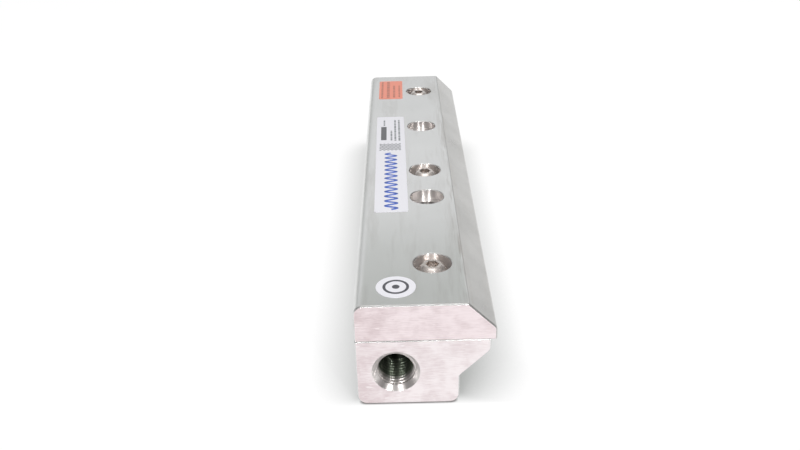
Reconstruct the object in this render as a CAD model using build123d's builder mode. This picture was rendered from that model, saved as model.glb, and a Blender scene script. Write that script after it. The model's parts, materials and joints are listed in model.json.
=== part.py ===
from build123d import *

import os
from math import hypot

# Compressed air knife: a bar that turns compressed air into a thin flat sheet of moving air.
#
# Air enters the pipe port in an end of the body and fills a bore that runs the whole length. It rises
# through a milled feed slot into a shallow pocket in the top of the body, flows round the screw bosses,
# and leaves over the body's front lip, through the gap that a comb-shaped shim holds open under the cap.
# The sheet of air then follows the flat underside of the cap, which stands out past the lip.
#
# Frame: X across the knife, +X towards the nozzle; Y along it, -Y at the open inlet; Z up.
# The origin is at the middle of the bottom of the bounding box. All lengths are in millimetres.

# ---------------------------------------------------------------- sizes of the bar
knife_length = 228.6
knife_width = 44.45  # rear face to the cap's front edge
body_height = 24.4
cap_height = 13.15
cap_rear_radius = 3.2  # long rear corner on top of the cap
foot_radius = 3.4  # both long corners under the body
undercut_radius = 1.2  # inside corner between the foot and its slope
end_break = 0.4  # chamfer that deburrs the cut ends
seam_break = 0.2  # the same along the seam, but for the lip's edge
mouth_break = 0.25  # chamfer round each counterbore

# ---------------------------------------------------------------- sizes of the nozzle
shim_thickness = 0.05
cap_overhang = 1.7  # flat of the cap that stands out past the body's lip
cap_bevel = 8.9  # 45 degree bevel along the cap's top front edge
cap_bevel_radius = 1.2  # where the bevel meets the top
cap_nose_radius = 2.0  # where the bevel meets the front edge
lip_height = 4.1  # upright front face of the body's lip
lip_radius = 2.8  # lower edge of the lip
lip_undercut = 9.8  # 45 degree slope below the lip
lip_land = 4.0  # flat of the lip that faces the cap across the gap

# ---------------------------------------------------------------- sizes of the air passages
inlet_offset = 12.7  # rear face to the inlet's axis
inlet_height = 12.7  # bottom to the inlet's axis
inlet_thread_diameter = 12.5  # mean diameter of the pipe thread
inlet_thread_depth = 14.0
inlet_mouth_diameter = 15.5  # 90 degree countersink at the thread's mouth
plenum_diameter = 11.1
feed_slot_width = 5.0
feed_slot_margin = 1.5  # inner end of the pipe thread to the slot
pocket_depth = 1.2
pocket_corner_radius = 3.0
rear_rim = 7.0  # sealing face behind the pocket
end_rim = 10.0  # sealing face at each end of the pocket
boss_diameter = 13.0  # lands left standing in the pocket, round the holes

# ---------------------------------------------------------------- sizes of the fasteners
hole_line_offset = 25.4  # rear face to the line of holes
end_screw_margin = 25.4  # end of the bar to the first and the last screw
middle_screw_shift = 12.7  # middle screw, from the middle of the bar towards the inlet
mounting_spacing = 76.2  # between the two mounting holes
mounting_diameter = 7.0  # clears a 6.35 mm screw, as the cap's other holes do
counterbore_diameter = 12.8
counterbore_depth = 3.8
screw_diameter = 6.35
screw_length = 25.4  # under the head
screw_clearance = 0.65  # between the shank and its hole in cap and shim, over the diameter
screw_head_diameter = 11.1
screw_head_height = 3.35
screw_head_rim = 0.6  # upright edge of the head
screw_crown_diameter = 6.2  # flat on top of the head
screw_hex = 3.97  # across flats
screw_hex_depth = 2.1
screw_point = 0.8  # chamfer at the screw's tip
tap_runout = 2.0  # tapped hole beyond the screw's tip

# ---------------------------------------------------------------- sizes of the plug and the labels
plug_length = 9.5
plug_setback = 1.0  # inside the small end of the countersink
plug_hex = 6.35
plug_hex_depth = 5.0
plug_chamfer = 0.7
label_thickness = 0.12
label_corner_radius = 0.8
label_margin = 5.0  # rear face to the labels
name_label_width = 12.7
name_label_length = 101.6
name_label_turn = 0.4  # degrees, because it is stuck on by hand
square_label_width = 12.0
square_label_length = 28.6
square_label_margin = 8.2  # far end to the label
round_label_diameter = 12.7
round_label_offset = 13.3  # rear face to its centre
round_label_margin = 4.4  # near end to its edge

# ---------------------------------------------------------------- places worked out from the sizes
rear_x = -knife_width / 2
front_x = knife_width / 2
near_y = -knife_length / 2
far_y = knife_length / 2

lip_x = front_x - cap_overhang
foot_x = lip_x - lip_undercut
foot_height = body_height - lip_height - lip_undercut
cap_bottom_z = body_height + shim_thickness
top_z = cap_bottom_z + cap_height
head_seat_z = top_z - counterbore_depth

inlet_x = rear_x + inlet_offset
pocket_rear_x = rear_x + rear_rim
pocket_front_x = lip_x - lip_land
pocket_length = knife_length - 2 * end_rim
feed_slot_length = knife_length - 2 * (inlet_thread_depth + feed_slot_margin)
countersink_depth = (inlet_mouth_diameter - inlet_thread_diameter) / 2

hole_x = rear_x + hole_line_offset
screw_spots = [
    (hole_x, near_y + end_screw_margin),
    (hole_x, -middle_screw_shift),
    (hole_x, far_y - end_screw_margin),
]
mounting_spots = [
    (hole_x, -mounting_spacing / 2),
    (hole_x, mounting_spacing / 2),
]
screw_hole_diameter = screw_diameter + screw_clearance
screw_engagement = screw_length - (head_seat_z - body_height)
# The head is a ball that passes through the top of its rim and the edge of its crown.
screw_rim_square = (screw_head_diameter / 2) ** 2 + screw_head_rim**2
screw_crown_square = (screw_crown_diameter / 2) ** 2 + screw_head_height**2
screw_dome_z = (screw_crown_square - screw_rim_square) / (2 * (screw_head_height - screw_head_rim))
screw_dome_radius = hypot(screw_head_diameter / 2, screw_head_rim - screw_dome_z)

body_top = Plane.XY.offset(body_height)
cap_underside = Plane.XY.offset(cap_bottom_z)
cap_top = Plane.XY.offset(top_z)
near_end = Plane(origin=(inlet_x, near_y, inlet_height), x_dir=(1, 0, 0), z_dir=(0, -1, 0))
far_end = Plane(origin=(inlet_x, far_y, inlet_height), x_dir=(-1, 0, 0), z_dir=(0, 1, 0))


def below_seam(edge):
    """True for an edge of the body that isn't part of the seam."""
    return edge.center().Z < body_height - seam_break


def above_seam(edge):
    """True for an edge of the cap that isn't part of the seam."""
    return edge.center().Z > cap_bottom_z + seam_break


def write(piece, name):
    """Labels a finished piece with its node's name and writes it as parts/NAME.step."""
    piece.part.label = name
    export_step(piece.part, f"parts/{name}.step")


os.makedirs("parts", exist_ok=True)


# ---------------------------------------------------------------- body
# Aluminium bar with an undercut front. The bore, the ports, the pocket and the holes are machined into it.
with BuildPart() as body:
    with BuildSketch(Plane.XZ) as body_section:
        with BuildLine():
            Polyline(
                (rear_x, 0),
                (foot_x, 0),
                (foot_x, foot_height),
                (lip_x, body_height - lip_height),
                (lip_x, body_height),
                (rear_x, body_height),
                close=True,
            )
        make_face()
        chamfer(body_section.vertices().group_by(Axis.Y)[-1].sort_by(Axis.X)[0], seam_break)
        lip_corner = body_section.vertices().group_by(Axis.X)[-1].sort_by(Axis.Y)[0]
        fillet(lip_corner, lip_radius)
        undercut_corner = body_section.vertices().filter_by(lambda v: abs(v.X - foot_x) < 1e-6)
        fillet(undercut_corner.sort_by(Axis.Y)[-1], undercut_radius)
        fillet(body_section.vertices().group_by(Axis.Y)[0], foot_radius)
    extrude(amount=knife_length / 2, both=True)
    chamfer(body.faces().filter_by(Axis.Y).edges().filter_by(below_seam), end_break)
    chamfer(body.faces().filter_by(Axis.Y).edges().group_by(Axis.Z)[-1], seam_break)

    # Plenum bore from end to end, with a threaded and countersunk port at each end.
    with Locations(near_end):
        Hole(radius=plenum_diameter / 2, depth=knife_length)
    with Locations(near_end, far_end):
        CounterSinkHole(
            radius=inlet_thread_diameter / 2,
            counter_sink_radius=inlet_mouth_diameter / 2,
            depth=inlet_thread_depth,
            counter_sink_angle=90,
        )

    # Pocket behind the lip. A boss stands in it round each hole, as high as the rims.
    with BuildSketch(body_top):
        with Locations(((pocket_rear_x + pocket_front_x) / 2, 0)):
            RectangleRounded(pocket_front_x - pocket_rear_x, pocket_length, pocket_corner_radius)
        with Locations(*screw_spots, *mounting_spots):
            Circle(boss_diameter / 2, mode=Mode.SUBTRACT)
    extrude(amount=-pocket_depth, mode=Mode.SUBTRACT)

    # Feed slot from the pocket down into the bore.
    with BuildSketch(body_top):
        with Locations((inlet_x, 0)):
            SlotOverall(feed_slot_length, feed_slot_width, rotation=90)
    extrude(amount=inlet_height - body_height, mode=Mode.SUBTRACT)

    with BuildSketch(body_top):
        with Locations(*screw_spots):
            Circle(screw_diameter / 2)
    extrude(amount=-(screw_engagement + tap_runout), mode=Mode.SUBTRACT)

    with BuildSketch(Plane.XY):
        with Locations(*mounting_spots):
            Circle(mounting_diameter / 2)
    extrude(amount=body_height, mode=Mode.SUBTRACT)
write(body, "body")


# ---------------------------------------------------------------- cap
# Aluminium bar that closes the pocket. Its flat underside guides the sheet of air past the lip.
with BuildPart() as cap:
    with BuildSketch(Plane.XZ) as cap_section:
        with BuildLine():
            Polyline(
                (rear_x, cap_bottom_z),
                (front_x, cap_bottom_z),
                (front_x, top_z - cap_bevel),
                (front_x - cap_bevel, top_z),
                (rear_x, top_z),
                close=True,
            )
        make_face()
        bevel_foot = cap_section.vertices().group_by(Axis.X)[-1].sort_by(Axis.Y)[-1]
        fillet(bevel_foot, cap_nose_radius)
        bevel_top = cap_section.vertices().group_by(Axis.Y)[-1].sort_by(Axis.X)[-1]
        fillet(bevel_top, cap_bevel_radius)
        rear_corner = cap_section.vertices().group_by(Axis.Y)[-1].sort_by(Axis.X)[0]
        fillet(rear_corner, cap_rear_radius)
        chamfer(cap_section.vertices().group_by(Axis.Y)[0], seam_break)
    extrude(amount=knife_length / 2, both=True)
    chamfer(cap.faces().filter_by(Axis.Y).edges().filter_by(above_seam), end_break)
    chamfer(cap.faces().filter_by(Axis.Y).edges().group_by(Axis.Z)[0], seam_break)

    with Locations(cap_top):
        with Locations(*screw_spots):
            CounterBoreHole(
                radius=screw_hole_diameter / 2,
                counter_bore_radius=counterbore_diameter / 2,
                counter_bore_depth=counterbore_depth,
                depth=cap_height,
            )
        with Locations(*mounting_spots):
            CounterBoreHole(
                radius=mounting_diameter / 2,
                counter_bore_radius=counterbore_diameter / 2,
                counter_bore_depth=counterbore_depth,
                depth=cap_height,
            )
    chamfer(cap.faces().sort_by(Axis.Z)[-1].edges().filter_by(GeomType.CIRCLE), mouth_break)
write(cap, "cap")


# ---------------------------------------------------------------- shim
# Stainless comb. Its rear strip and ends seal the rims, and a finger reaches out to each boss.
with BuildPart() as shim:
    with BuildSketch(body_top):
        with Locations(((rear_x + lip_x) / 2, 0)):
            Rectangle(lip_x - rear_x, knife_length - 2 * seam_break)
        with Locations(((pocket_rear_x + lip_x) / 2, 0)):
            Rectangle(lip_x - pocket_rear_x, pocket_length, mode=Mode.SUBTRACT)
        with Locations(*screw_spots, *mounting_spots):
            Circle(boss_diameter / 2)
            with Locations(((pocket_rear_x - hole_x) / 2, 0)):
                Rectangle(hole_x - pocket_rear_x, boss_diameter / 2)
        with Locations(*screw_spots):
            Circle(screw_hole_diameter / 2, mode=Mode.SUBTRACT)
        with Locations(*mounting_spots):
            Circle(mounting_diameter / 2, mode=Mode.SUBTRACT)
    extrude(amount=shim_thickness)
write(shim, "shim")


# ---------------------------------------------------------------- cap screws
# Button head socket screws. The thread is drawn as its outside cylinder, and so is the hole tapped for it.
for number, (screw_x, screw_y) in enumerate(screw_spots, start=1):
    axis_plane = Plane(origin=(screw_x, screw_y, head_seat_z), x_dir=(1, 0, 0), z_dir=(0, -1, 0))
    crown_plane = Plane(origin=(screw_x, screw_y, head_seat_z + screw_head_height), z_dir=(0, 0, 1))
    with BuildPart() as cap_screw:
        with BuildSketch(axis_plane):
            with BuildLine():
                Polyline(
                    (screw_crown_diameter / 2, screw_head_height),
                    (0, screw_head_height),
                    (0, -screw_length),
                    (screw_diameter / 2 - screw_point, -screw_length),
                    (screw_diameter / 2, screw_point - screw_length),
                    (screw_diameter / 2, 0),
                    (screw_head_diameter / 2, 0),
                    (screw_head_diameter / 2, screw_head_rim),
                )
                RadiusArc(
                    (screw_head_diameter / 2, screw_head_rim),
                    (screw_crown_diameter / 2, screw_head_height),
                    -screw_dome_radius,
                )
            make_face()
        revolve(axis=Axis((screw_x, screw_y, 0), (0, 0, 1)))
        with BuildSketch(crown_plane):
            RegularPolygon(screw_hex / 2, side_count=6, major_radius=False)
        extrude(amount=-screw_hex_depth, mode=Mode.SUBTRACT)
    write(cap_screw, f"cap_screw_{number}")


# ---------------------------------------------------------------- inlet plug
# Socket pipe plug, screwed into the far port, so that the knife is fed from the near one.
plug_face = far_end.offset(-(countersink_depth + plug_setback))
with BuildPart() as inlet_plug:
    with BuildSketch(plug_face):
        Circle(inlet_thread_diameter / 2)
    extrude(amount=-plug_length)
    chamfer(inlet_plug.edges().filter_by(GeomType.CIRCLE), plug_chamfer)
    with BuildSketch(plug_face):
        RegularPolygon(plug_hex / 2, side_count=6, major_radius=False)
    extrude(amount=-plug_hex_depth, mode=Mode.SUBTRACT)
write(inlet_plug, "inlet_plug")


# ---------------------------------------------------------------- labels
# Self-adhesive vinyl on the flat top of the cap.
with BuildPart() as name_label:
    with BuildSketch(cap_top):
        with Locations((rear_x + label_margin + name_label_width / 2, 0)):
            RectangleRounded(
                name_label_width,
                name_label_length,
                label_corner_radius,
                rotation=name_label_turn,
            )
    extrude(amount=label_thickness)
write(name_label, "name_label")

with BuildPart() as square_label:
    with BuildSketch(cap_top):
        with Locations(
            (
                rear_x + label_margin + square_label_width / 2,
                far_y - square_label_margin - square_label_length / 2,
            )
        ):
            RectangleRounded(square_label_width, square_label_length, label_corner_radius)
    extrude(amount=label_thickness)
write(square_label, "square_label")

with BuildPart() as round_label:
    with BuildSketch(cap_top):
        with Locations(
            (rear_x + round_label_offset, near_y + round_label_margin + round_label_diameter / 2)
        ):
            Circle(round_label_diameter / 2)
    extrude(amount=label_thickness)
write(round_label, "round_label")
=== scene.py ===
import json
from math import cos, pi, radians, sin, tau

import bmesh
import bpy
from mathutils import Matrix, Vector


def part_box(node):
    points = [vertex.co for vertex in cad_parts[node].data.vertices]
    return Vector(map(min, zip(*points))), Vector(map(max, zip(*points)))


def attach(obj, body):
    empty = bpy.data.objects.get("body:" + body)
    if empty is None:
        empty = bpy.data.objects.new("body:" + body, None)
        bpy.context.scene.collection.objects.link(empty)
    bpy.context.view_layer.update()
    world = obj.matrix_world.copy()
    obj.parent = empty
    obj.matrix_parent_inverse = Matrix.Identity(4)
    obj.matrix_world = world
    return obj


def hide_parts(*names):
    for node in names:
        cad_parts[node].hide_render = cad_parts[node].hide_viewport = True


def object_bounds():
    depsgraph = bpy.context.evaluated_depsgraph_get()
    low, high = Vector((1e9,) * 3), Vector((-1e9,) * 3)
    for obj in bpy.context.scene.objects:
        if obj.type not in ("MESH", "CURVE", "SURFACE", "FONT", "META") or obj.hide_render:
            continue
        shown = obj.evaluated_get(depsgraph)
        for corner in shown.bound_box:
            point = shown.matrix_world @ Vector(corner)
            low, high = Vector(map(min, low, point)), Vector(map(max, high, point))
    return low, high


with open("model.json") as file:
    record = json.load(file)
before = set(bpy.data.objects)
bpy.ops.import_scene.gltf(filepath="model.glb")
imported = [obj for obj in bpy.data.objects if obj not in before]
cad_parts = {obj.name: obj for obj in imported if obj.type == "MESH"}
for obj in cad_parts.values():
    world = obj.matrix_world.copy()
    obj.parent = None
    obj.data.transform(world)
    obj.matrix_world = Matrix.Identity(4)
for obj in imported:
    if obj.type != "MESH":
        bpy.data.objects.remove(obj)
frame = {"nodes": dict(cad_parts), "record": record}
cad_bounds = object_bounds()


# ==================================================================== body
# The lower bar: 6063 aluminium, extruded to its undercut section, sawn to length, then bored, ported and
# milled. The long faces keep the die's fine lines, and the sawn ends keep short cross scratches.

def srgb(code):
    """Linear RGBA of an sRGB hex colour such as "#c8c8c4"."""
    values = [int(code[i:i + 2], 16) / 255 for i in (1, 3, 5)]
    return [v / 12.92 if v <= 0.04045 else ((v + 0.055) / 1.055) ** 2.4 for v in values] + [1.0]


def add(tree, kind, settings=None, **inputs):
    """Adds one node with its settings and its links, and returns it.

    An input goes by its name, with _ for a space, or by its number among the live ones, as in_0 or in_1. It
    is a value, a socket, or a node that stands for its own first live output.
    """
    node = tree.nodes.new(kind)
    for key, value in (settings or {}).items():
        setattr(node, key, value)
    live = [socket for socket in node.inputs if socket.enabled]
    for key, value in inputs.items():
        if key.startswith("in_"):
            socket = live[int(key[3:])]
        else:
            socket = next(s for s in live if s.name == key.replace("_", " "))
        if isinstance(value, bpy.types.Node):
            value = next(s for s in value.outputs if s.enabled)
        if isinstance(value, bpy.types.NodeSocket):
            tree.links.new(value, socket)
        else:
            socket.default_value = value
    return node


def new_material(name):
    """A material with an empty node tree; returns both."""
    material = bpy.data.materials.new(name)
    material.use_nodes = True
    material.node_tree.nodes.clear()
    return material, material.node_tree


def dress(node_name, material):
    """Gives a CAD node one material on all its faces."""
    obj = frame["nodes"][node_name]
    for slot in obj.material_slots:
        slot.material = material
    if not obj.material_slots:
        obj.data.materials.append(material)


MM = 0.001

# Marks that the die leaves along the bar, those that wiping and handling leave over them, and a band
# darkened in patches along one edge.
DIE_LINE_SPACING = 0.45 * MM  # drawn coarser than the real 0.1 mm, so that it shows
DIE_LINE_LENGTH = 60 * MM
SMEAR_WIDTH = 6 * MM
SMEAR_LENGTH = 50 * MM
SMEAR_STRENGTH = 0.45
CLOUD_SIZE = 20 * MM
EDGE_BAND_PATCH_WIDTH = 1.6 * MM
EDGE_BAND_PATCH_LENGTH = 28 * MM
EDGE_BAND_CORE = 0.4 * MM  # this near the edge the band is darkest
EDGE_BAND_REACH = 3.2 * MM

# Marks that the saw leaves across the ends, and painted shade that darkens the ends towards the rear and
# painted light that brightens them towards the nozzle.
SAW_LINE_SPACING = 0.35 * MM  # drawn coarser than the real 0.1 mm, so that it shows
SAW_LINE_LENGTH = 4 * MM
SAW_LINE_TILT = radians(9)
SAW_LINE_STRENGTH = 0.7
SAW_PATCH = 4 * MM
SAW_PATCH_STRENGTH = 0.5
NICK_WIDTH = 0.6 * MM
NICK_LENGTH = 3 * MM
NICK_TILT = -3 * SAW_LINE_TILT
REAR_X = cad_bounds[0][0]
# Painted shade and light on the ends: darker at the rear, brighter towards the nozzle, over this width.
END_SHADE_WIDTH = 18 * MM
REAR_PAINTED_SHADE = -0.35
NOZZLE_PAINTED_LIGHT = 0.2
UNVARIED = 1.0  # a metre, so that the pattern doesn't change along this axis

# Rings of the drills and mills, and a dark line painted along the seam between the bars.
TOOL_RING_SPACING = 0.3 * MM  # drawn coarser than the real 0.1 mm, so that it shows
SEAM_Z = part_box("shim")[0][2]
SEAM_LINE_COLOUR = "#5c5654"
SEAM_LINE_WIDTH = 0.35 * MM
SEAM_LINE_REACH = 12 * MM
SEAM_LINE_STRENGTH = 0.28

# How the faces take the light. A face is an end, or the bevel, by how far its normal points along Y or X.
END_FACING = 0.9
BEVEL_FACING = (0.35, 0.6)
LONG_FACE_ROUGHNESS = 0.23
ROUGHNESS_SWING = 0.05
SAWN_ROUGHNESS = 0.3
CUT_ROUGHNESS = 0.33
GRAIN_STRETCH = 0.95  # how much more a surface spreads light across its lines than along them
EDGE_SOFTNESS = 0.2 * MM
MARK_DEPTH = 0.02 * MM
MARK_STRENGTH = 0.25


def tool_rings(tree, radius, depth):
    """Rings that a drill or an end mill leaves on the wall, the floor and the cone of a hole."""
    travel = add(tree, "ShaderNodeMath", {"operation": "ADD"}, in_0=radius, in_1=depth)
    turns = add(tree, "ShaderNodeMath", {"operation": "DIVIDE"}, in_0=travel, in_1=TOOL_RING_SPACING)
    return add(tree, "ShaderNodeTexNoise", {"noise_dimensions": "1D"}, W=turns, Scale=1.0, Detail=2.0)


def mill_finish_aluminium(name, colours, holes, darkened_edge_x=None):
    """Bare extruded aluminium: satin and lined along the bar, sawn at its ends, turned where it is cut.

    colours holds a hex value for each finish. holes takes the tree and the X, Y and Z outputs, and gives
    where the bar is cut, where it is cut deep, the direction round the hole and the rings of the tool.
    The fourth argument is the X of a long edge along which the tint is darkened in patches.
    """
    tints = {finish: srgb(code) for finish, code in colours.items()}
    material, tree = new_material(name)
    place = add(tree, "ShaderNodeTexCoord").outputs["Object"]
    x, y, z = add(tree, "ShaderNodeSeparateXYZ", Vector=place).outputs
    normal = add(tree, "ShaderNodeNewGeometry").outputs["Normal"]
    facing = add(tree, "ShaderNodeSeparateXYZ", Vector=normal).outputs
    along_bar = add(tree, "ShaderNodeMath", {"operation": "ABSOLUTE"}, in_0=facing["Y"])
    is_end = add(tree, "ShaderNodeMath", {"operation": "GREATER_THAN"}, in_0=along_bar,
                 in_1=END_FACING)
    is_bevel = add(tree, "ShaderNodeMapRange", Value=facing["X"], From_Min=BEVEL_FACING[0],
                   From_Max=BEVEL_FACING[1])
    is_cut, is_deep, round_hole, rings = holes(tree, x, y, z)

    # Each kind of mark: its size along X, Y and Z, its detail, how rough it is, and its tilt on the ends.
    marks = {}
    for kind, size, detail, raggedness, tilt in (
        ("die lines", (DIE_LINE_SPACING, DIE_LINE_LENGTH, DIE_LINE_SPACING), 3.0, 0.6, 0.0),
        ("smears", (SMEAR_WIDTH, SMEAR_LENGTH, SMEAR_WIDTH), 4.0, 0.65, 0.0),
        ("clouds", (CLOUD_SIZE, CLOUD_SIZE, CLOUD_SIZE), 4.0, 0.55, 0.0),
        ("saw lines", (SAW_LINE_LENGTH, UNVARIED, SAW_LINE_SPACING), 4.0, 0.7, SAW_LINE_TILT),
        ("nicks", (NICK_LENGTH, UNVARIED, NICK_WIDTH), 2.0, 0.5, NICK_TILT),
        ("patches", (SAW_PATCH, SAW_PATCH, SAW_PATCH), 2.0, 0.5, 0.0),
    ):
        sized = add(tree, "ShaderNodeMapping", Vector=place, Rotation=(0, tilt, 0),
                    Scale=[1 / length for length in size])
        marks[kind] = add(tree, "ShaderNodeTexNoise", Vector=sized, Scale=1.0, Detail=detail,
                          Roughness=raggedness)

    # Along the bar: broad wiped smears, a band darkened in patches along one edge, and soft clouds from
    # handling that vary the shine.
    darkening = add(tree, "ShaderNodeMapRange", Value=marks["smears"], From_Min=0.5, From_Max=0.75,
                  To_Max=SMEAR_STRENGTH)
    if darkened_edge_x is not None:
        # A band darkened in patches along one edge, darkest nearest it. It takes the smear tint.
        from_edge = add(tree, "ShaderNodeMath", {"operation": "SUBTRACT"}, in_0=x, in_1=darkened_edge_x)
        from_edge = add(tree, "ShaderNodeMath", {"operation": "ABSOLUTE"}, in_0=from_edge)
        near_edge = add(tree, "ShaderNodeMapRange", Value=from_edge, From_Min=EDGE_BAND_CORE, From_Max=EDGE_BAND_REACH,
                        To_Min=1.0, To_Max=0.0)
        sized = add(tree, "ShaderNodeMapping", Vector=place,
                    Scale=(1 / EDGE_BAND_PATCH_WIDTH, 1 / EDGE_BAND_PATCH_LENGTH, 1 / EDGE_BAND_PATCH_WIDTH))
        edge_patches = add(tree, "ShaderNodeTexNoise", Vector=sized, Scale=1.0, Detail=4.0, Roughness=0.7)
        edge_patches = add(tree, "ShaderNodeMapRange", Value=edge_patches, From_Min=0.46, From_Max=0.64)
        rubbed = add(tree, "ShaderNodeMath", {"operation": "MULTIPLY"}, in_0=near_edge, in_1=edge_patches)
        darkening = add(tree, "ShaderNodeMath", {"operation": "MAXIMUM"}, in_0=darkening, in_1=rubbed)
    long_tint = add(tree, "ShaderNodeMix", {"data_type": "RGBA"}, Factor=is_bevel, A=tints["long face"],
                    B=tints["bevel"])
    long_tint = add(tree, "ShaderNodeMix", {"data_type": "RGBA"}, Factor=darkening, A=long_tint,
                    B=tints["smear"])
    long_roughness = add(tree, "ShaderNodeMapRange", Value=marks["clouds"], From_Min=0.3, From_Max=0.7,
                         To_Min=LONG_FACE_ROUGHNESS - ROUGHNESS_SWING,
                         To_Max=LONG_FACE_ROUGHNESS + ROUGHNESS_SWING)

    # Across the ends: soft saw scratches in patches, painted shade towards the rear and painted light
    # towards the nozzle, with a few bright nicks.
    scratched = add(tree, "ShaderNodeMapRange", Value=marks["saw lines"], From_Min=0.35, From_Max=0.7,
                    To_Max=SAW_LINE_STRENGTH)
    patched = add(tree, "ShaderNodeMapRange", Value=marks["patches"], From_Min=0.38, From_Max=0.66,
                  To_Max=SAW_PATCH_STRENGTH)
    # Painted shade towards the rear and painted light towards the nozzle.
    painted_end_shade = add(tree, "ShaderNodeMapRange", Value=x, From_Min=REAR_X, From_Max=REAR_X + END_SHADE_WIDTH,
                  To_Min=REAR_PAINTED_SHADE, To_Max=NOZZLE_PAINTED_LIGHT)
    nicked = add(tree, "ShaderNodeMapRange", Value=marks["nicks"], From_Min=0.6, From_Max=0.7)
    bright = add(tree, "ShaderNodeMath", {"operation": "ADD"}, in_0=scratched, in_1=patched)
    bright = add(tree, "ShaderNodeMath", {"operation": "ADD"}, in_0=bright, in_1=painted_end_shade)
    bright = add(tree, "ShaderNodeMath", {"operation": "MAXIMUM"}, in_0=bright, in_1=nicked)
    end_tint = add(tree, "ShaderNodeMix", {"data_type": "RGBA"}, Factor=bright, A=tints["sawn end"],
                   B=tints["saw streak"])

    # A dark line is painted along the seam, and thins out from the middle of the bar towards the nozzle.
    from_seam = add(tree, "ShaderNodeMath", {"operation": "SUBTRACT"}, in_0=z, in_1=SEAM_Z)
    from_seam = add(tree, "ShaderNodeMath", {"operation": "ABSOLUTE"}, in_0=from_seam)
    at_seam = add(tree, "ShaderNodeMath", {"operation": "LESS_THAN"}, in_0=from_seam, in_1=SEAM_LINE_WIDTH)
    thinning = add(tree, "ShaderNodeMapRange", Value=x, From_Min=0.0, From_Max=SEAM_LINE_REACH,
                   To_Min=SEAM_LINE_STRENGTH, To_Max=0.0)
    seam_line = add(tree, "ShaderNodeMath", {"operation": "MULTIPLY"}, in_0=at_seam, in_1=thinning)

    # The finishes together: long face or sawn end, over them what is cut, and the dark seam line last.
    # Deep in a hole the tint fades to painted shade.
    cut_tint = add(tree, "ShaderNodeMix", {"data_type": "RGBA"}, Factor=is_deep, A=tints["hole mouth"],
                   B=tints["painted shade in hole"])
    tint = add(tree, "ShaderNodeMix", {"data_type": "RGBA"}, Factor=is_end, A=long_tint, B=end_tint)
    tint = add(tree, "ShaderNodeMix", {"data_type": "RGBA"}, Factor=is_cut, A=tint, B=cut_tint)
    tint = add(tree, "ShaderNodeMix", {"data_type": "RGBA"}, Factor=seam_line, A=tint, B=srgb(SEAM_LINE_COLOUR))
    roughness = add(tree, "ShaderNodeMix", {"data_type": "FLOAT"}, Factor=is_end, A=long_roughness,
                    B=SAWN_ROUGHNESS)
    roughness = add(tree, "ShaderNodeMix", {"data_type": "FLOAT"}, Factor=is_cut, A=roughness,
                    B=CUT_ROUGHNESS)
    relief = add(tree, "ShaderNodeMix", {"data_type": "FLOAT"}, Factor=is_end, A=marks["die lines"],
                 B=marks["saw lines"])
    relief = add(tree, "ShaderNodeMix", {"data_type": "FLOAT"}, Factor=is_cut, A=relief, B=rings)

    # Light spreads across the lines of each finish: along Y, along X on the ends, and round the holes.
    lines = add(tree, "ShaderNodeMix", {"data_type": "VECTOR"}, Factor=is_end, A=(0.0, 1.0, 0.0),
                B=(1.0, 0.0, 0.0))
    lines = add(tree, "ShaderNodeMix", {"data_type": "VECTOR"}, Factor=is_cut, A=lines, B=round_hole)
    across_lines = add(tree, "ShaderNodeVectorMath", {"operation": "CROSS_PRODUCT"}, in_0=lines, in_1=normal)
    soft_edges = add(tree, "ShaderNodeBevel", {"samples": 6}, Radius=EDGE_SOFTNESS)
    bump = add(tree, "ShaderNodeBump", Height=relief, Strength=MARK_STRENGTH, Distance=MARK_DEPTH,
               Normal=soft_edges)
    shader = add(tree, "ShaderNodeBsdfPrincipled", Base_Color=tint, Metallic=1.0, Roughness=roughness,
                 Normal=bump, Anisotropic=GRAIN_STRETCH, Tangent=across_lines)
    add(tree, "ShaderNodeOutputMaterial", Surface=shader)
    return material


HAIR = 0.02 * MM  # keeps a boundary just off the face or edge that it follows
RIM_MARGIN = 0.05 * MM
END_FACE_Y = cad_bounds[1][1] - HAIR
COUNTERSINK_RADIUS = 7.75 * MM
SHADE_START_DEPTH = 3.5 * MM  # the port is painted darker from here, and in full painted shade beyond the next
FULL_SHADE_DEPTH = 6.0 * MM
inlet = next(m for m in frame["record"]["mounts"] if m["name"] == "air_inlet")
inlet_x, inlet_z = inlet["pos_m"][0], inlet["pos_m"][2]


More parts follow.
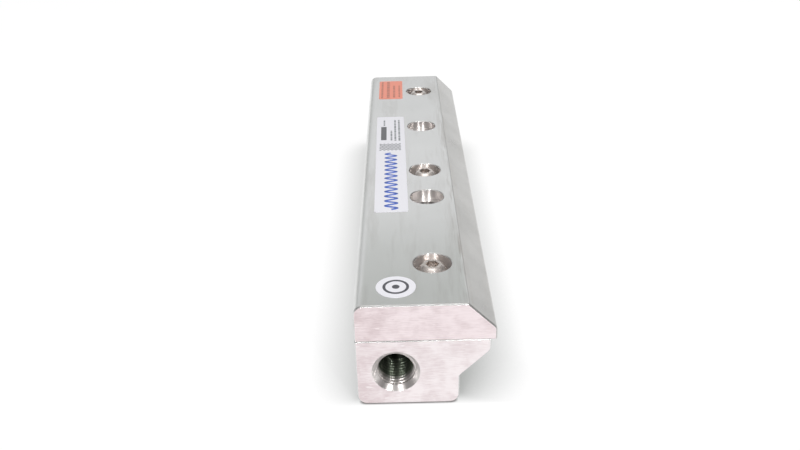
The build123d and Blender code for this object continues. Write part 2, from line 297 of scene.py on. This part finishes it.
def ports(tree, x, y, z):
    """The two end ports, their countersinks and the bore between them."""
    across = add(tree, "ShaderNodeMath", {"operation": "SUBTRACT"}, in_0=x, in_1=inlet_x)
    up = add(tree, "ShaderNodeMath", {"operation": "SUBTRACT"}, in_0=z, in_1=inlet_z)
    across_squared = add(tree, "ShaderNodeMath", {"operation": "POWER"}, in_0=across, in_1=2.0)
    up_squared = add(tree, "ShaderNodeMath", {"operation": "POWER"}, in_0=up, in_1=2.0)
    radius = add(tree, "ShaderNodeMath", {"operation": "ADD"}, in_0=across_squared, in_1=up_squared)
    radius = add(tree, "ShaderNodeMath", {"operation": "SQRT"}, in_0=radius)
    from_middle = add(tree, "ShaderNodeMath", {"operation": "ABSOLUTE"}, in_0=y)
    in_rim = add(tree, "ShaderNodeMath", {"operation": "LESS_THAN"}, in_0=radius,
                 in_1=COUNTERSINK_RADIUS + RIM_MARGIN)
    off_face = add(tree, "ShaderNodeMath", {"operation": "LESS_THAN"}, in_0=from_middle, in_1=END_FACE_Y)
    is_cut = add(tree, "ShaderNodeMath", {"operation": "MULTIPLY"}, in_0=in_rim, in_1=off_face)
    is_deep = add(tree, "ShaderNodeMapRange", Value=from_middle, From_Min=END_FACE_Y - SHADE_START_DEPTH,
                  From_Max=END_FACE_Y - FULL_SHADE_DEPTH)
    to_rear = add(tree, "ShaderNodeMath", {"operation": "MULTIPLY"}, in_0=across, in_1=-1.0)
    round_hole = add(tree, "ShaderNodeCombineXYZ", X=up, Z=to_rear)
    return is_cut, is_deep, round_hole, tool_rings(tree, radius, from_middle)


BODY_COLOURS = {
    "long face": "#dfe0df",
    "bevel": "#dfe0df",
    "smear": "#cbcbc9",
    "sawn end": "#e3d4d6",
    "saw streak": "#fff7f8",
    "hole mouth": "#ded9d7",
    "painted shade in hole": "#70776a",
}
body_aluminium = mill_finish_aluminium("extruded_aluminium_body", BODY_COLOURS, ports)
dress("body", body_aluminium)


# ==================================================================== port thread
# The 1/4 inch pipe thread tapped into the near port. It is cut in the body's own aluminium: bright,
# machined ridges that start where the countersink ends and run in to the bore, fading into painted shade
# deeper in.

THREAD_PITCH = 25.4 / 18 * MM
THREAD_WALL_RADIUS = 6.25 * MM
THREAD_RIDGE_HEIGHT = 0.5 * MM
THREAD_DEPTH = 12.4 * MM
THREAD_STEPS = 72  # steps in each turn
COUNTERSINK_DEPTH = 1.5 * MM
near_end_y = cad_bounds[0][1]
scene = bpy.context.scene


def new_group(name, sizes):
    """A Geometry Nodes tree with named inputs for its sizes and its material; returns it and its inputs."""
    tree = bpy.data.node_groups.new(name, "GeometryNodeTree")
    tree.interface.new_socket("Geometry", in_out="OUTPUT", socket_type="NodeSocketGeometry")
    for size in sizes:
        tree.interface.new_socket(size, in_out="INPUT", socket_type="NodeSocketFloat")
    tree.interface.new_socket("Material", in_out="INPUT", socket_type="NodeSocketMaterial")
    return tree, add(tree, "NodeGroupInput").outputs


def grow(name, tree, values):
    """Runs a Geometry Nodes tree with the given inputs and returns the result as a plain mesh object."""
    seed = bpy.data.objects.new(name + "_seed", bpy.data.meshes.new(name + "_seed"))
    scene.collection.objects.link(seed)
    modifier = seed.modifiers.new("grow", "NODES")
    modifier.node_group = tree
    for item in tree.interface.items_tree:
        if item.in_out == "INPUT" and item.name in values:
            modifier[item.identifier] = values[item.name]
    bpy.context.view_layer.update()
    evaluated = seed.evaluated_get(bpy.context.evaluated_depsgraph_get())
    mesh = bpy.data.meshes.new_from_object(evaluated)
    mesh.name = name
    seed.modifiers.clear()
    bpy.data.objects.remove(seed)
    piece = bpy.data.objects.new(name, mesh)
    scene.collection.objects.link(piece)
    return piece


thread_tree, given = new_group("helical_ridge", ["Pitch", "Depth", "Wall Radius", "Ridge Height"])
turns = add(thread_tree, "ShaderNodeMath", {"operation": "DIVIDE"}, in_0=given["Depth"], in_1=given["Pitch"])
path = add(thread_tree, "GeometryNodeCurveSpiral", Resolution=THREAD_STEPS, Rotations=turns,
           Start_Radius=given["Wall Radius"], End_Radius=given["Wall Radius"], Height=given["Depth"])
upright = add(thread_tree, "GeometryNodeSetCurveNormal", {"mode": "Z_UP"}, Curve=path)
section = add(thread_tree, "GeometryNodeCurvePrimitiveCircle", {"mode": "RADIUS"}, Resolution=3,
              Radius=given["Ridge Height"])
ridge = add(thread_tree, "GeometryNodeCurveToMesh", Curve=upright, Profile_Curve=section, Fill_Caps=True)
real = add(thread_tree, "GeometryNodeRealizeInstances", Geometry=ridge)
coated = add(thread_tree, "GeometryNodeSetMaterial", Geometry=real, Material=given["Material"])
add(thread_tree, "NodeGroupOutput", Geometry=coated)

port_thread = grow("port_thread", thread_tree, {
    "Pitch": THREAD_PITCH,
    "Depth": THREAD_DEPTH,
    "Wall Radius": THREAD_WALL_RADIUS,
    "Ridge Height": THREAD_RIDGE_HEIGHT,
    "Material": body_aluminium,
})
port_thread.data.transform(
    Matrix.Translation((inlet_x, near_end_y + COUNTERSINK_DEPTH, inlet_z))
    @ Matrix.Rotation(-pi / 2, 4, "X")
)
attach(port_thread, "root")


# ==================================================================== shim
# The comb that holds the air gap open: half-hard stainless foil, etched to shape. It lies on the body's
# lapped top, and the cap clamps it there.

ROLLING_LINE_SPACING = 0.5 * MM  # drawn coarser than the real 0.05 mm, so that it shows
ROLLING_LINE_LENGTH = 30 * MM
FOIL_PATTERN_DEPTH = 1 * MM


def foil_steel(name, colour):
    """Rolled stainless foil: smooth, with faint lines along the rolling direction."""
    material, tree = new_material(name)
    place = add(tree, "ShaderNodeTexCoord").outputs["Object"]
    rolled = add(tree, "ShaderNodeMapping", Vector=place,
                 Scale=(1 / ROLLING_LINE_SPACING, 1 / ROLLING_LINE_LENGTH, 1 / FOIL_PATTERN_DEPTH))
    lines = add(tree, "ShaderNodeTexNoise", Vector=rolled, Scale=1.0, Detail=3.0)
    roughness = add(tree, "ShaderNodeMapRange", Value=lines, To_Min=0.2, To_Max=0.4)
    shader = add(tree, "ShaderNodeBsdfPrincipled", Base_Color=srgb(colour), Metallic=1.0,
                 Roughness=roughness)
    add(tree, "ShaderNodeOutputMaterial", Surface=shader)
    return material


dress("shim", foil_steel("rolled_stainless_foil", "#a8a7a3"))


# ==================================================================== cap
# The upper bar: the same extruded aluminium, bevelled in the die, sawn to length and counterbored from the
# top. The edge over the bevel is darker in patches, and the counterbores are bright from the end mill, with
# painted shade deeper in the screw holes.

HOLE_GRID = 25.4 * MM  # the holes stand on this grid, counted from the first screw
COUNTERBORE_RADIUS = 6.4 * MM
COUNTERBORE_CHAMFER = 0.25 * MM
SCREW_HOLE_SHARE = 0.6  # of the counterbore's radius, inside which it is the hole for the screw
CAP_BEVEL = 8.9 * MM
cap_low, cap_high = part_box("cap")
screw_low, screw_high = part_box("cap_screw_1")
hole_x = (screw_low[0] + screw_high[0]) / 2
first_hole_y = (screw_low[1] + screw_high[1]) / 2


def counterbores(tree, x, y, z):
    """The five counterbored holes down through the cap."""
    across = add(tree, "ShaderNodeMath", {"operation": "SUBTRACT"}, in_0=x, in_1=hole_x)
    along = add(tree, "ShaderNodeMath", {"operation": "SUBTRACT"}, in_0=y, in_1=first_hole_y)
    along = add(tree, "ShaderNodeMath", {"operation": "WRAP"}, in_0=along, in_1=HOLE_GRID / 2,
                in_2=-HOLE_GRID / 2)
    across_squared = add(tree, "ShaderNodeMath", {"operation": "POWER"}, in_0=across, in_1=2.0)
    along_squared = add(tree, "ShaderNodeMath", {"operation": "POWER"}, in_0=along, in_1=2.0)
    radius = add(tree, "ShaderNodeMath", {"operation": "ADD"}, in_0=across_squared, in_1=along_squared)
    radius = add(tree, "ShaderNodeMath", {"operation": "SQRT"}, in_0=radius)
    in_rim = add(tree, "ShaderNodeMath", {"operation": "LESS_THAN"}, in_0=radius,
                 in_1=COUNTERBORE_RADIUS + RIM_MARGIN)
    below_top = add(tree, "ShaderNodeMath", {"operation": "LESS_THAN"}, in_0=z,
                    in_1=cap_high[2] - COUNTERBORE_CHAMFER - HAIR / 2)
    above_seam = add(tree, "ShaderNodeMath", {"operation": "GREATER_THAN"}, in_0=z, in_1=cap_low[2] + HAIR)
    from_middle = add(tree, "ShaderNodeMath", {"operation": "ABSOLUTE"}, in_0=y)
    off_ends = add(tree, "ShaderNodeMath", {"operation": "LESS_THAN"}, in_0=from_middle,
                   in_1=cap_high[1] - COUNTERBORE_RADIUS)
    is_cut = add(tree, "ShaderNodeMath", {"operation": "MULTIPLY"}, in_0=below_top, in_1=above_seam)
    is_cut = add(tree, "ShaderNodeMath", {"operation": "MULTIPLY"}, in_0=in_rim, in_1=is_cut)
    is_cut = add(tree, "ShaderNodeMath", {"operation": "MULTIPLY"}, in_0=is_cut, in_1=off_ends)
    is_deep = add(tree, "ShaderNodeMath", {"operation": "LESS_THAN"}, in_0=radius,
                  in_1=SCREW_HOLE_SHARE * COUNTERBORE_RADIUS)
    to_near_end = add(tree, "ShaderNodeMath", {"operation": "MULTIPLY"}, in_0=along, in_1=-1.0)
    round_hole = add(tree, "ShaderNodeCombineXYZ", X=to_near_end, Y=across)
    return is_cut, is_deep, round_hole, tool_rings(tree, radius, z)


CAP_COLOURS = {
    "long face": "#dfe0df",
    "bevel": "#c3c2c0",
    "smear": "#bebbb7",
    "sawn end": "#dfced0",
    "saw streak": "#fdf0f2",
    "hole mouth": "#efebe9",
    "painted shade in hole": "#dcd8d5",
}
bevel_edge_x = cap_high[0] - CAP_BEVEL
dress("cap", mill_finish_aluminium("extruded_aluminium_cap", CAP_COLOURS, counterbores, bevel_edge_x))


# ==================================================================== cap screws
# Button head socket screws, cold headed from stainless steel and tumbled. They pull the cap down on the
# shim, and have a soft, slightly mottled shine, darker than the aluminium round them.

TUMBLE_MARK = 0.9 * MM  # drawn coarser than the real 0.2 mm, so that it shows
TUMBLE_DEPTH = 0.03 * MM


def tumbled_steel(name, colour, worn_colour):
    """Headed or turned steel, tumbled: softly mottled, and brighter where it has rubbed."""
    material, tree = new_material(name)
    place = add(tree, "ShaderNodeTexCoord").outputs["Object"]
    dents = add(tree, "ShaderNodeTexNoise", Vector=place, Scale=1 / TUMBLE_MARK, Detail=4.0, Roughness=0.6)
    worn = add(tree, "ShaderNodeMapRange", Value=dents, From_Min=0.45, From_Max=0.7)
    tint = add(tree, "ShaderNodeMix", {"data_type": "RGBA"}, Factor=worn, A=srgb(colour),
               B=srgb(worn_colour))
    roughness = add(tree, "ShaderNodeMapRange", Value=dents, From_Min=0.3, From_Max=0.7, To_Min=0.18,
                    To_Max=0.34)
    bump = add(tree, "ShaderNodeBump", Height=dents, Strength=0.15, Distance=TUMBLE_DEPTH)
    shader = add(tree, "ShaderNodeBsdfPrincipled", Base_Color=tint, Metallic=1.0, Roughness=roughness,
                 Normal=bump)
    add(tree, "ShaderNodeOutputMaterial", Surface=shader)
    return material


screw_steel = tumbled_steel("headed_stainless_steel", "#d3cbc6", "#e6e0db")
for number in (1, 2, 3):
    dress(f"cap_screw_{number}", screw_steel)


# ==================================================================== inlet plug
# Socket pipe plug, screwed into the far port so that the air goes in at the near one: steel, turned and
# zinc plated, a little duller and bluer than the bars.

dress("inlet_plug", tumbled_steel("zinc_plated_steel", "#b5b7b8", "#c6c8c9"))


# ==================================================================== labels
# Three self-adhesive labels of white and orange vinyl, kiss-cut and stuck on by hand. Their print is plain:
# bars, squares, a wave, a ring and a dot, in ink that stands just clear of the film.

INK_THICKNESS = 0.02 * MM
LABEL_CORNER = 0.8 * MM
CORNER_STEPS = 6
ORANGE_PEEL_SIZE = 1.5 * MM
ORANGE_PEEL_DEPTH = 0.02 * MM


def vinyl(name, colour):
    """Vinyl film or the ink on it: smooth and slightly glossy, with a faint orange peel."""
    material, tree = new_material(name)
    place = add(tree, "ShaderNodeTexCoord").outputs["Object"]
    peel = add(tree, "ShaderNodeTexNoise", Vector=place, Scale=1 / ORANGE_PEEL_SIZE, Detail=2.0,
               Roughness=0.6)
    bump = add(tree, "ShaderNodeBump", Height=peel, Strength=0.05, Distance=ORANGE_PEEL_DEPTH)
    shader = add(tree, "ShaderNodeBsdfPrincipled", Base_Color=srgb(colour), Roughness=0.3, Normal=bump)
    add(tree, "ShaderNodeOutputMaterial", Surface=shader)
    return material


def rounded_outline(low, high, radius):
    """The corners of a rounded rectangle between two XY points, anticlockwise."""
    points = []
    centres = ((high[0] - radius, high[1] - radius), (low[0] + radius, high[1] - radius),
               (low[0] + radius, low[1] + radius), (high[0] - radius, low[1] + radius))
    for quarter, (cx, cy) in enumerate(centres):
        for step in range(CORNER_STEPS + 1):
            angle = (quarter + step / CORNER_STEPS) * pi / 2
            points.append((cx + radius * cos(angle), cy + radius * sin(angle)))
    return points


def round_outline(radius, steps=64):
    """Points round a circle about the origin, anticlockwise."""
    return [(radius * cos(tau * i / steps), radius * sin(tau * i / steps)) for i in range(steps)]


def middle_of(low, high):
    """The transform that puts a label's own middle on the middle of a CAD box, at zero height."""
    return Matrix.Translation(((low[0] + high[0]) / 2, (low[1] + high[1]) / 2, 0))


def lay_film(name, outlines, bottom, top, material, place, openings=None):
    """One piece of thin flat sheets between two heights, each with a hole where openings has its number."""
    bm = bmesh.new()
    for number, outline in enumerate(outlines):
        low_rim, high_rim = ([bm.verts.new((u, v, z)) for u, v in outline] for z in (bottom, top))
        walls = [(low_rim, high_rim)]
        if openings and number in openings:
            low_hole, high_hole = (
                [bm.verts.new((u, v, z)) for u, v in openings[number]] for z in (bottom, top)
            )
            walls.append((high_hole, low_hole))
            for i in range(len(outline)):
                j = (i + 1) % len(outline)
                bm.faces.new((high_rim[i], high_rim[j], high_hole[j], high_hole[i]))
                bm.faces.new((low_rim[j], low_rim[i], low_hole[i], low_hole[j]))
        else:
            bm.faces.new(high_rim)
            bm.faces.new(list(reversed(low_rim)))
        for foot, head in walls:
            for i in range(len(foot)):
                j = (i + 1) % len(foot)
                bm.faces.new((foot[i], foot[j], head[j], head[i]))
    mesh = bpy.data.meshes.new(name)
    bm.to_mesh(mesh)
    bm.free()
    mesh.transform(place)
    mesh.materials.append(material)
    piece = bpy.data.objects.new(name, mesh)
    scene.collection.objects.link(piece)
    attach(piece, "root")
    return piece


# The long label. Its film is new here, so that the ink on it stays within the label's thickness.
NAME_LABEL_SIZE = (12.7 * MM, 101.6 * MM)
NAME_LABEL_TURN = radians(0.4)
label_low, label_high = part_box("name_label")
label_top = label_high[2]
film_top = label_top - INK_THICKNESS
name_label_place = middle_of(label_low, label_high) @ Matrix.Rotation(NAME_LABEL_TURN, 4, "Z")
white_film = vinyl("white_vinyl_film", "#e4e4ea")
name_film = lay_film(
    "name_label_film",
    [rounded_outline((-NAME_LABEL_SIZE[0] / 2, -NAME_LABEL_SIZE[1] / 2),
                     (NAME_LABEL_SIZE[0] / 2, NAME_LABEL_SIZE[1] / 2), LABEL_CORNER)],
    label_low[2], film_top, white_film, name_label_place)
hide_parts("name_label")

# The blue wave along the label: one flat printed line that follows a sine.
WAVE_START = -48.8 * MM
WAVE_POINTS = 260
wave_tree, given = new_group("printed_wave", ["Length", "Wave Length", "Wave Height", "Line Width", "Ink"])
far_end = add(wave_tree, "ShaderNodeCombineXYZ", Y=given["Length"])
line = add(wave_tree, "GeometryNodeCurvePrimitiveLine", End=far_end)
steps = add(wave_tree, "GeometryNodeResampleCurve", {"mode": "COUNT"}, Curve=line, Count=WAVE_POINTS)
place = add(wave_tree, "GeometryNodeInputPosition")
travel = add(wave_tree, "ShaderNodeSeparateXYZ", Vector=place).outputs["Y"]
waves = add(wave_tree, "ShaderNodeMath", {"operation": "DIVIDE"}, in_0=travel, in_1=given["Wave Length"])
phase = add(wave_tree, "ShaderNodeMath", {"operation": "MULTIPLY"}, in_0=waves, in_1=tau)
sine = add(wave_tree, "ShaderNodeMath", {"operation": "SINE"}, in_0=phase)
reach = add(wave_tree, "ShaderNodeMath", {"operation": "MULTIPLY"}, in_0=given["Wave Height"], in_1=0.5)
swing = add(wave_tree, "ShaderNodeMath", {"operation": "MULTIPLY"}, in_0=sine, in_1=reach)
sideways = add(wave_tree, "ShaderNodeCombineXYZ", X=swing)
waved = add(wave_tree, "GeometryNodeSetPosition", Geometry=steps, Offset=sideways)
upright = add(wave_tree, "GeometryNodeSetCurveNormal", {"mode": "Z_UP"}, Curve=waved)
profile = add(wave_tree, "GeometryNodeCurvePrimitiveQuadrilateral", Width=given["Line Width"],
              Height=given["Ink"])
ribbon = add(wave_tree, "GeometryNodeCurveToMesh", Curve=upright, Profile_Curve=profile, Fill_Caps=True)
real = add(wave_tree, "GeometryNodeRealizeInstances", Geometry=ribbon)
inked = add(wave_tree, "GeometryNodeSetMaterial", Geometry=real, Material=given["Material"])
add(wave_tree, "NodeGroupOutput", Geometry=inked)

blue_wave = grow("name_label_blue_wave", wave_tree, {
    "Length": 54.6 * MM,
    "Wave Length": 4.2 * MM,
    "Wave Height": 4.4 * MM,
    "Line Width": 1.15 * MM,
    "Ink": INK_THICKNESS,
    "Material": vinyl("blue_ink", "#4c6ecb"),
})
wave_place = Matrix.Translation((0, WAVE_START, film_top + INK_THICKNESS / 2))
blue_wave.data.transform(name_label_place @ wave_place)
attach(blue_wave, "root")

# Small print: plain broken lines, one dark bar, and an even field of squares. Print is measured in
# millimetres from the label's middle.
PRINT_DASHES = (2.6, 1.4, 3.4, 2.0, 1.1)  # lengths, in turn along a line
PRINT_GAP = 0.55
DASH_CORNER = 0.1
BAR_CORNER = 0.3
SQUARE = 0.85
SQUARE_FILL = 0.96
SQUARE_CORNER = 0.05
SQUARES_START = (-4.9, 9.0)
SQUARES_ACROSS = 11
SQUARES_ALONG = 9


def bar_outline(across, width, start, end, corner):
    """The outline of one bar along a label."""
    return rounded_outline(((across - width / 2) * MM, start * MM), ((across + width / 2) * MM, end * MM),
                           corner * MM)


def dashed_lines(rows):
    """Outlines of broken lines. A row gives its middle across, its width, its start and its end."""
    outlines = []
    for number, (across, width, start, end) in enumerate(rows):
        turn = number
        while start < end:
            stop = min(start + PRINT_DASHES[turn % len(PRINT_DASHES)], end)
            outlines.append(bar_outline(across, width, start, stop, DASH_CORNER))
            start = stop + PRINT_GAP
            turn += 1
    return outlines


squares = []
for i in range(SQUARES_ACROSS):
    for j in range(SQUARES_ALONG):
        if (i + j) % 2 == 0:
            near = [(SQUARES_START[k] + SQUARE * (i, j)[k]) * MM for k in (0, 1)]
            far = [(SQUARES_START[k] + SQUARE * ((i, j)[k] + SQUARE_FILL)) * MM for k in (0, 1)]
            squares.append(rounded_outline(near, far, SQUARE_CORNER * MM))
grey_rows = [
    (0.35, 0.75, 20.5, 32.5),
    (2.1, 0.8, 20.0, 46.5),
    (3.9, 0.8, 20.0, 46.5),
    (-2.9, 0.7, 39.0, 46.5),
]
dark_bar = bar_outline(-3.1, 2.5, 21.0, 37.5, BAR_CORNER)
for name, outlines, ink in (
    ("name_label_grey_ink", dashed_lines(grey_rows), vinyl("grey_ink", "#7d8285")),
    ("name_label_black_ink", [dark_bar], vinyl("black_ink", "#55565b")),
    ("name_label_square_ink", squares, vinyl("dark_grey_ink", "#62676a")),
):
    lay_film(name, outlines, film_top, label_top, ink, name_label_place)

# The orange label, with four plain broken lines along it.
square_low, square_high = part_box("square_label")
square_place = middle_of(square_low, square_high)
square_half = [(square_high[i] - square_low[i]) / 2 for i in range(2)]
square_film = lay_film(
    "square_label_film",
    [rounded_outline((-square_half[0], -square_half[1]), (square_half[0], square_half[1]), LABEL_CORNER)],
    square_low[2], film_top, vinyl("orange_vinyl_film", "#ea8b72"), square_place)
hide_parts("square_label")
rust_rows = [
    (-4.4, 1.0, -13.0, 13.0),
    (-1.3, 1.5, -13.0, 13.0),
    (1.7, 1.1, -12.5, 6.5),
    (4.4, 0.9, -12.0, 6.5),
]
lay_film("square_label_ink", dashed_lines(rust_rows), film_top, label_top, vinyl("rust_ink", "#b36b57"),
         square_place)

# The round label, with a plain ring and a dot.
RING_RADIUS = 4.2 * MM
RING_HOLE_RADIUS = 3.3 * MM
DOT_RADIUS = 1.2 * MM
round_low, round_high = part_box("round_label")
round_place = middle_of(round_low, round_high)
round_film = lay_film("round_label_film", [round_outline((round_high[0] - round_low[0]) / 2)],
                      round_low[2], film_top, white_film, round_place)
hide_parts("round_label")
lay_film("round_label_ink", [round_outline(RING_RADIUS), round_outline(DOT_RADIUS)], film_top, label_top,
         vinyl("charcoal_ink", "#4a4b52"), round_place,
         openings={0: round_outline(RING_HOLE_RADIUS)})


# ==================================================================== floor, lamps and camera
# A pale bench top in a white room. Two upright lamps stand in front, to the left and the right, and a broad
# soft one hangs above. The knife lies with its open port to the front. Lamps are placed in metres.

scene.view_settings.view_transform = "Standard"
HALF_FLOOR = 3.0
BENCH_GLOW = 1.06
BENCH_SEEN = 0.9  # share of the bench's own colour, against its lit one, where it is seen
BENCH_COLOUR = "#fcfcfc"
BENCH_SHADOW_COLOUR = "#878a87"
BENCH_CONTACT_SHADOW_COLOUR = "#6f6a6a"
SHADOW_REACH = 30 * MM
CONTACT_SHADOW_REACH = 1.5 * MM
SHADOW_FADE_START = near_end_y - 1 * MM
SHADOW_FADE_END = near_end_y + 7 * MM

floor_mesh = bpy.data.meshes.new("floor")
floor_mesh.from_pydata(
    [(-HALF_FLOOR, -HALF_FLOOR, 0), (HALF_FLOOR, -HALF_FLOOR, 0), (HALF_FLOOR, HALF_FLOOR, 0),
     (-HALF_FLOOR, HALF_FLOOR, 0)], [], [(0, 1, 2, 3)])
floor = bpy.data.objects.new("floor", floor_mesh)
scene.collection.objects.link(floor)

# What the camera and the metal see of the bench is its own colour, with a painted shadow beside the knife
# and a painted contact shadow where they touch. In front of the knife a painted fade lifts the shadow, so
# the bench there stays bright.
bench, tree = new_material("white_bench")
place = add(tree, "ShaderNodeTexCoord").outputs["Object"]
bench_y = add(tree, "ShaderNodeSeparateXYZ", Vector=place).outputs["Y"]
in_front = add(tree, "ShaderNodeMapRange", Value=bench_y, From_Min=SHADOW_FADE_START,
               From_Max=SHADOW_FADE_END, To_Min=1.0, To_Max=0.0)
# Painted shadow beside the knife, lifted in front of it.
open_beside = add(tree, "ShaderNodeAmbientOcclusion", {"samples": 16}, Distance=SHADOW_REACH).outputs["AO"]
open_beside = add(tree, "ShaderNodeMapRange", Value=open_beside, From_Min=0.2, From_Max=0.86)
open_beside = add(tree, "ShaderNodeMath", {"operation": "MAXIMUM"}, in_0=open_beside, in_1=in_front)
# Painted contact shadow where the knife meets the bench.
open_below = add(tree, "ShaderNodeAmbientOcclusion", {"samples": 16}, Distance=CONTACT_SHADOW_REACH).outputs["AO"]
open_below = add(tree, "ShaderNodeMapRange", Value=open_below, From_Min=0.35, From_Max=0.75)
shadowed_bench_tint = add(tree, "ShaderNodeMix", {"data_type": "RGBA"}, Factor=open_beside,
                 A=srgb(BENCH_SHADOW_COLOUR), B=srgb(BENCH_COLOUR))
shadowed_bench_tint = add(tree, "ShaderNodeMix", {"data_type": "RGBA"}, Factor=open_below,
                 A=srgb(BENCH_CONTACT_SHADOW_COLOUR), B=shadowed_bench_tint)
ray = add(tree, "ShaderNodeLightPath").outputs
is_seen = add(tree, "ShaderNodeMath", {"operation": "MAXIMUM"}, in_0=ray["Is Camera Ray"],
              in_1=ray["Is Glossy Ray"])
own_share = add(tree, "ShaderNodeMath", {"operation": "MULTIPLY"}, in_0=is_seen, in_1=BENCH_SEEN)
lit = add(tree, "ShaderNodeBsdfDiffuse", Color=srgb("#f8f7f8"))
own = add(tree, "ShaderNodeEmission", Color=shadowed_bench_tint, Strength=BENCH_GLOW)
bench_shader = add(tree, "ShaderNodeMixShader", in_0=own_share, in_1=lit, in_2=own)
add(tree, "ShaderNodeOutputMaterial", Surface=bench_shader)
floor_mesh.materials.append(bench)

# The far wall is the brightest, where the top of the knife mirrors it, then the ceiling. The other walls
# are dark. Heights are those of a direction one long.
world = bpy.data.worlds.new("white_room")
scene.world = world
world.use_nodes = True
sky = world.node_tree
sky.nodes.clear()
place = add(sky, "ShaderNodeTexCoord").outputs["Generated"]
direction = add(sky, "ShaderNodeSeparateXYZ", Vector=place).outputs
up_the_wall = add(sky, "ShaderNodeMapRange", Value=direction["Z"], From_Min=0.08, From_Max=0.38)
over_the_wall = add(sky, "ShaderNodeMapRange", Value=direction["Z"], From_Min=0.462, From_Max=0.470)
ahead = add(sky, "ShaderNodeMapRange", Value=direction["Y"], From_Min=0.55, From_Max=0.85)
overhead = add(sky, "ShaderNodeMapRange", Value=direction["Z"], From_Min=0.52, From_Max=0.8)
far_wall = add(sky, "ShaderNodeMix", {"data_type": "RGBA"}, Factor=up_the_wall, A=srgb("#bcbebd"),
               B=srgb("#f2f2f3"))
far_wall = add(sky, "ShaderNodeMix", {"data_type": "RGBA"}, Factor=over_the_wall, A=far_wall,
               B=srgb("#cfd1cf"))
room = add(sky, "ShaderNodeMix", {"data_type": "RGBA"}, Factor=ahead, A=srgb("#8c8b8b"), B=far_wall)
room = add(sky, "ShaderNodeMix", {"data_type": "RGBA"}, Factor=overhead, A=room, B=srgb("#c6c4c3"))
ray = add(sky, "ShaderNodeLightPath").outputs
backdrop = add(sky, "ShaderNodeMix", {"data_type": "RGBA"}, Factor=ray["Is Camera Ray"], A=room,
               B=srgb("#fbfbfd"))
light = add(sky, "ShaderNodeBackground", Color=backdrop, Strength=1.0)
add(sky, "ShaderNodeOutputWorld", Surface=light)

UPRIGHT_LAMP_SIZE = (0.06, 0.7)
UPRIGHT_LAMP_POWER = 5.7
LAMPS_AIM = (0, 0, 0.03)


def lamp(name, place, size, power):
    """A rectangular soft lamp that points at the knife."""
    data = bpy.data.lights.new(name, "AREA")
    data.shape = "RECTANGLE"
    data.size, data.size_y = size
    data.energy = power
    obj = bpy.data.objects.new(name, data)
    scene.collection.objects.link(obj)
    towards = Vector(LAMPS_AIM) - Vector(place)
    obj.matrix_world = Matrix.Translation(place) @ towards.to_track_quat("-Z", "Y").to_matrix().to_4x4()


lamp("left_lamp", (-0.33, -1.05, 0.75), UPRIGHT_LAMP_SIZE, UPRIGHT_LAMP_POWER)
lamp("right_lamp", (0.45, -0.98, 0.75), UPRIGHT_LAMP_SIZE, UPRIGHT_LAMP_POWER)
lamp("overhead_lamp", (0.05, 0.1, 1.4), (0.9, 1.3), 5.0)

CAMERA_PLACE = (-0.00546, -0.32684, 0.17584)
CAMERA_PITCH = radians(27.506)
CAMERA_YAW = radians(-0.406)
CAMERA_ROLL = radians(-1.598)
camera_data = bpy.data.cameras.new("camera")
camera_data.sensor_width = 36.0
camera_data.lens = 37.44
camera_data.clip_start = 0.01
camera = bpy.data.objects.new("camera", camera_data)
scene.collection.objects.link(camera)
camera.matrix_world = (
    Matrix.Translation(CAMERA_PLACE)
    @ Matrix.Rotation(-CAMERA_YAW, 4, "Z")
    @ Matrix.Rotation(pi / 2 - CAMERA_PITCH, 4, "X")
    @ Matrix.Rotation(CAMERA_ROLL, 4, "Z")
)
scene.camera = camera
